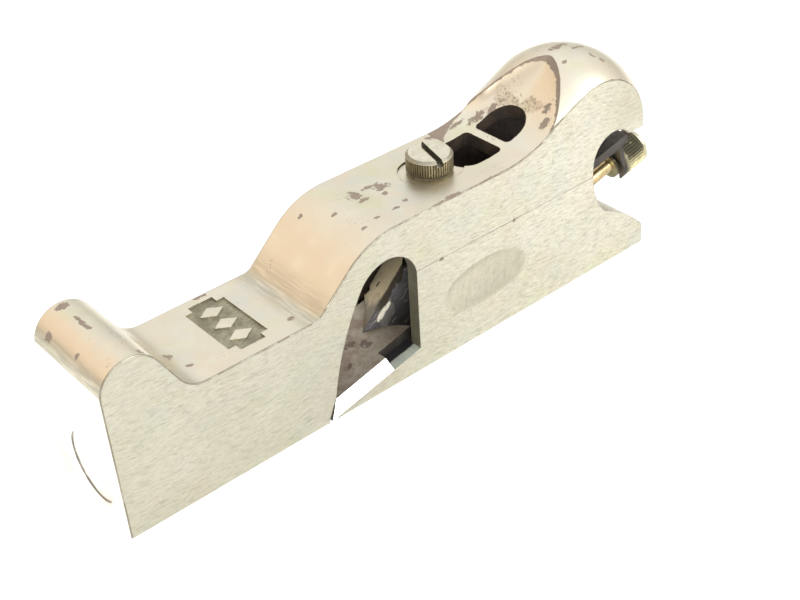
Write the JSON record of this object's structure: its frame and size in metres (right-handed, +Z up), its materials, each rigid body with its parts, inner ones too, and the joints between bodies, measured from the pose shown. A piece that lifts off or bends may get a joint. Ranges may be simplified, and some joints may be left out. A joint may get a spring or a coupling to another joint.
{
  "type": "cabinet maker's rabbet plane",
  "caption": "All-metal low-angle rabbet plane: a nosed top casting with pierced deck and ball palm rest, screwed to a base casting with full-width cutter",
  "frame": {"origin": "middle of the bottom of the bounding box, on the sole plane", "axes": "+X from toe to heel, +Z up from the sole, +Y across"},
  "size_m": [0.2052, 0.0318, 0.0694],
  "materials": {
    "nickel_casting": "worn nickel plate over cast iron, ground sides, brown pitting",
    "ground_casting": "nickel plated, sides ground lengthwise, satin",
    "cutter_steel": "ground tool steel with brown patina, bright relieved flanks",
    "lever_cap_iron": "ground iron, dark near facets, worn nickel",
    "nickel_hardware": "knurled brass with worn nickel plate",
    "stud_brass": "aged brass",
    "screw_steel": "knurled, bright top, grime in the knurl"
  },
  "bodies": {
    "base": {"base_casting": "ground_casting", "adjusting_stud": "stud_brass"},
    "top": {"top_casting": "nickel_casting"},
    "cutter": {"cutter": "cutter_steel"},
    "nut": {"adjusting_nut": "nickel_hardware"},
    "lever_cap": {"lever_cap": "lever_cap_iron"},
    "lever_cap_screw": {"lever_cap_screw": "nickel_hardware"},
    "body_screw": {"body_screw": "screw_steel"}
  },
  "joints": [
    {"name": "mouth_slide", "type": "slide", "parent": "base", "child": "top", "axis": [-1, 0, 0], "range_m": [-0.0005, 0.0016]},
    {"name": "body_screw_turn", "type": "hinge", "parent": "base", "child": "body_screw", "pos_m": [0.01359, 0, 0.0507], "axis": [0, 0, 1], "range_deg": [0, 180]},
    {"name": "cutter_slide", "type": "slide", "parent": "base", "child": "cutter", "axis": [0.9736, 0, 0.2284], "range_m": [-0.0005, 0.005]},
    {"name": "adjuster_turn", "type": "hinge", "parent": "cutter", "child": "nut", "pos_m": [0.09173, 0, 0.02191], "axis": [0.9736, 0, 0.2284], "range_deg": [-225, 2250]},
    {"name": "lever_cap_rock", "type": "hinge", "parent": "base", "child": "lever_cap", "pos_m": [0.01093, 0, 0.02833], "axis": [0, 1, 0], "range_deg": [0, 1]},
    {"name": "lever_cap_screw_turn", "type": "hinge", "parent": "lever_cap", "child": "lever_cap_screw", "pos_m": [0.05305, 0, 0.03138], "axis": [-0.2284, 0, 0.9736], "range_deg": [-90, 360]}
  ],
  "couplings": [
    {"joint": "adjuster_turn", "follows": "cutter_slide", "rad_per_m": 7854}
  ]
}
